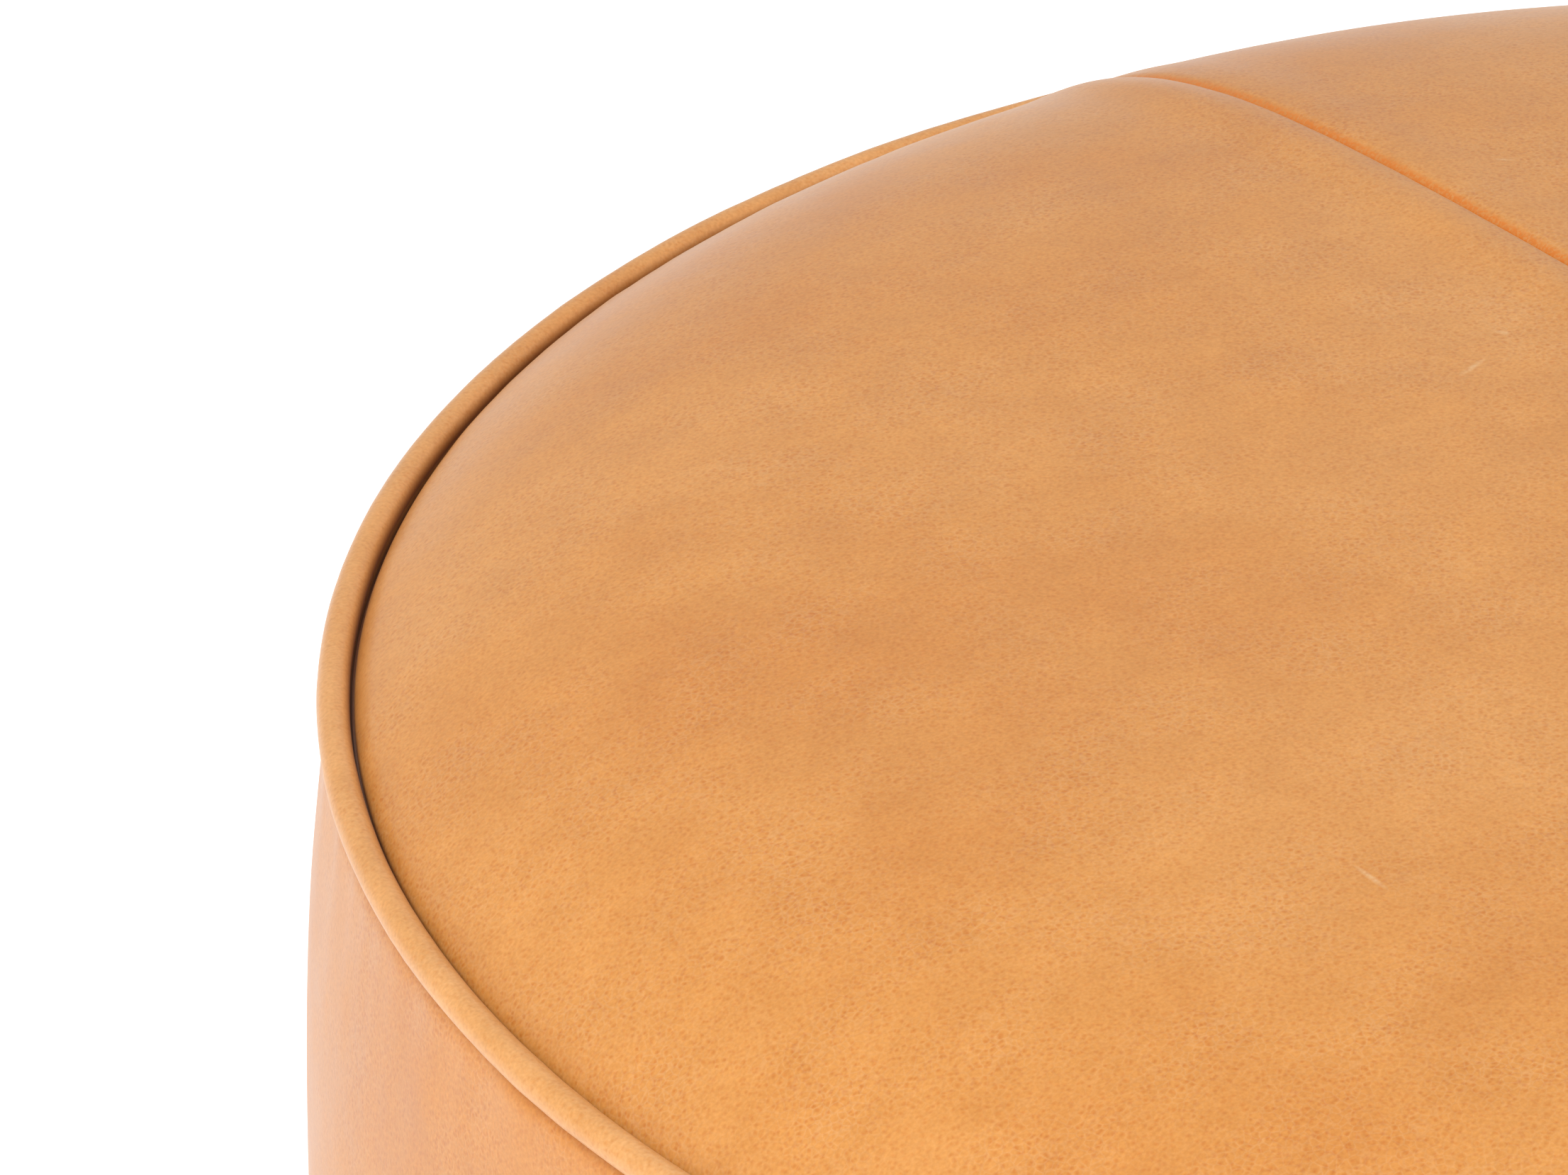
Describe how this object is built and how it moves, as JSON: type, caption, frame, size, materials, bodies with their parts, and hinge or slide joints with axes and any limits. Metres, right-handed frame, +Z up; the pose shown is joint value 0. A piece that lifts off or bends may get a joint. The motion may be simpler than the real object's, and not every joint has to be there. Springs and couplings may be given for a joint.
{
  "type": "round leather pouf",
  "caption": "Round stuffed leather pouf with a domed, centre-seamed top, a bulging side band, a welted rim top and bottom, and a zip across its base.",
  "frame": {"origin": "middle of the base, on the floor", "axes": "+Z up; the top seam and the zip run along Y; the zip's closed end is at +Y"},
  "size_m": [0.615, 0.615, 0.2919],
  "materials": {
    "leather_top": "full-grain, satin, soft pebble grain",
    "leather_side": "full-grain, satin, soft pebble grain",
    "leather_welt": "full-grain, satin, stretched over the cord",
    "leather_base": "full-grain, matt",
    "welt_cord": "twisted cotton",
    "thread": "waxed polyester",
    "seam_tape": "woven cotton twill",
    "zip_tape": "woven polyester",
    "zip_coil": "nylon coil",
    "zip_metal": "antique brass",
    "calico": "unbleached plain weave",
    "wadding": "polyester wadding",
    "foam": "cut polyurethane foam"
  },
  "bodies": {
    "cover": {"top_panel_left": "leather_top", "top_panel_right": "leather_top", "top_seam_stitches": "thread", "top_seam_tape": "seam_tape", "top_welt_cover": "leather_welt", "top_welt_cord": "welt_cord", "top_rim_stitches": "thread", "side_panel_1": "leather_side", "side_panel_2": "leather_side", "side_panel_3": "leather_side", "side_seam_stitches": "thread", "bottom_welt_cover": "leather_welt", "bottom_welt_cord": "welt_cord", "bottom_rim_stitches": "thread", "base_panel_left": "leather_base", "base_panel_right": "leather_base", "base_seam_stitches": "thread", "zip_tape_left": "zip_tape", "zip_tape_right": "zip_tape", "zip_coil_left": "zip_coil", "zip_coil_right": "zip_coil", "zip_top_stops": "zip_metal", "zip_bottom_stop": "zip_metal", "zip_stitches_left": "thread", "zip_stitches_right": "thread", "liner_top": "calico", "liner_side": "calico", "liner_base": "calico", "wadding_wrap": "wadding", "crown_foam": "foam", "core_foam": "foam"},
    "zip_slider": {"zip_slider": "zip_metal", "zip_pull_pin": "zip_metal"},
    "zip_pull": {"zip_pull": "zip_metal"}
  },
  "joints": [
    {"name": "zip_slide", "type": "slide", "parent": "cover", "child": "zip_slider", "axis": [0, -1, 0], "range_m": [0, 0.399]},
    {"name": "pull_swing", "type": "hinge", "parent": "zip_slider", "child": "zip_pull", "pos_m": [0, 0.1995, 0.0059], "axis": [1, 0, 0], "range_deg": [-8, 150]}
  ]
}
